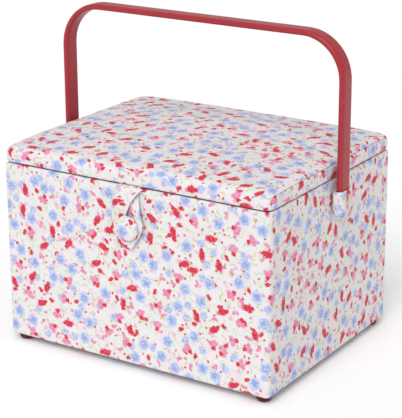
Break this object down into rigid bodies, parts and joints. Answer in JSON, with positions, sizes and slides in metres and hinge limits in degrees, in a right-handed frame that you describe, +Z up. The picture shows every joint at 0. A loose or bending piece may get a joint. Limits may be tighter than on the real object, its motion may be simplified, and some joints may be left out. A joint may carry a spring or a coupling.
{
  "type": "sewing box",
  "caption": "Fabric-covered lidded sewing box with padded top, swinging strap handle, loop-and-button closure and lift-out compartment trays.",
  "frame": {"origin": "centre of the overall box's footprint, on the surface that the four feet stand on", "axes": "+X to the right as seen from the closure side, +Y to the back where the lid hinges, +Z up"},
  "size_m": [0.3508, 0.2659, 0.3483],
  "materials": {
    "fibreboard": "matte",
    "printed_cotton": "matte",
    "plain_lining": "matte",
    "padding_foam": "matte",
    "base_paper": "matte",
    "red_plastic": "satin",
    "dark_red_plastic": "satin",
    "tray_plastic": "satin",
    "button_plastic": "matte",
    "sewing_thread": "matte",
    "brass": "satin",
    "screw_steel": "satin"
  },
  "bodies": {
    "box": {"base_board": "fibreboard", "front_board": "fibreboard", "back_board": "fibreboard", "left_board": "fibreboard", "right_board": "fibreboard", "body_cover": "printed_cotton", "body_lining": "plain_lining", "floor_lining": "plain_lining", "underside_sheet": "base_paper", "foot_screws": "screw_steel", "foot_front_left": "dark_red_plastic", "foot_front_right": "dark_red_plastic", "foot_back_left": "dark_red_plastic", "foot_back_right": "dark_red_plastic", "tray_ledge_left": "fibreboard", "tray_ledge_right": "fibreboard", "hinge_strip_body": "printed_cotton", "button_cap": "printed_cotton", "button_back": "button_plastic", "button_anchor": "button_plastic", "button_thread": "sewing_thread"},
    "lid": {"lid_board": "fibreboard", "lid_frame_front": "fibreboard", "lid_frame_back": "fibreboard", "lid_frame_left": "fibreboard", "lid_frame_right": "fibreboard", "lid_pad": "padding_foam", "lid_cover": "printed_cotton", "lid_lining": "plain_lining", "lid_pocket": "plain_lining", "pocket_elastic": "plain_lining", "pin_cushion": "plain_lining", "hinge_strip_lid": "printed_cotton", "loop_tab": "printed_cotton"},
    "handle": {"handle": "red_plastic", "cuff_left": "printed_cotton", "cuff_right": "printed_cotton", "rivet_left": "brass", "rivet_right": "brass", "rivet_washer_left": "brass", "rivet_washer_right": "brass", "pivot_washer_left": "brass", "pivot_washer_right": "brass"},
    "loop": {"closure_loop": "printed_cotton"},
    "front_tray": {"tray_front": "tray_plastic", "tray_front_grip": "tray_plastic", "tray_front_dividers": "tray_plastic"},
    "rear_tray": {"tray_rear": "tray_plastic", "tray_rear_grip": "tray_plastic", "tray_rear_dividers": "tray_plastic"}
  },
  "joints": [
    {"name": "lid_hinge", "type": "hinge", "parent": "box", "child": "lid", "pos_m": [0, 0.13275, 0.1993], "axis": [-1, 0, 0], "range_deg": [0, 100]},
    {"name": "handle_swing", "type": "hinge", "parent": "box", "child": "handle", "pos_m": [0, 0.00785, 0.179], "axis": [-1, 0, 0], "range_deg": [0, 100]},
    {"name": "loop_swing", "type": "hinge", "parent": "lid", "child": "loop", "pos_m": [0, -0.12305, 0.1993], "axis": [-1, 0, 0], "range_deg": [0, 75], "deforming": ["closure_loop"]},
    {"name": "front_tray_lift", "type": "slide", "parent": "box", "child": "front_tray", "axis": [0, 0, 1], "range_m": [0, 0.035]},
    {"name": "rear_tray_lift", "type": "slide", "parent": "box", "child": "rear_tray", "axis": [0, 0, 1], "range_m": [0, 0.035]}
  ],
  "couplings": [
    {"joint": "handle_swing", "follows": "lid_hinge", "ratio": 1}
  ]
}
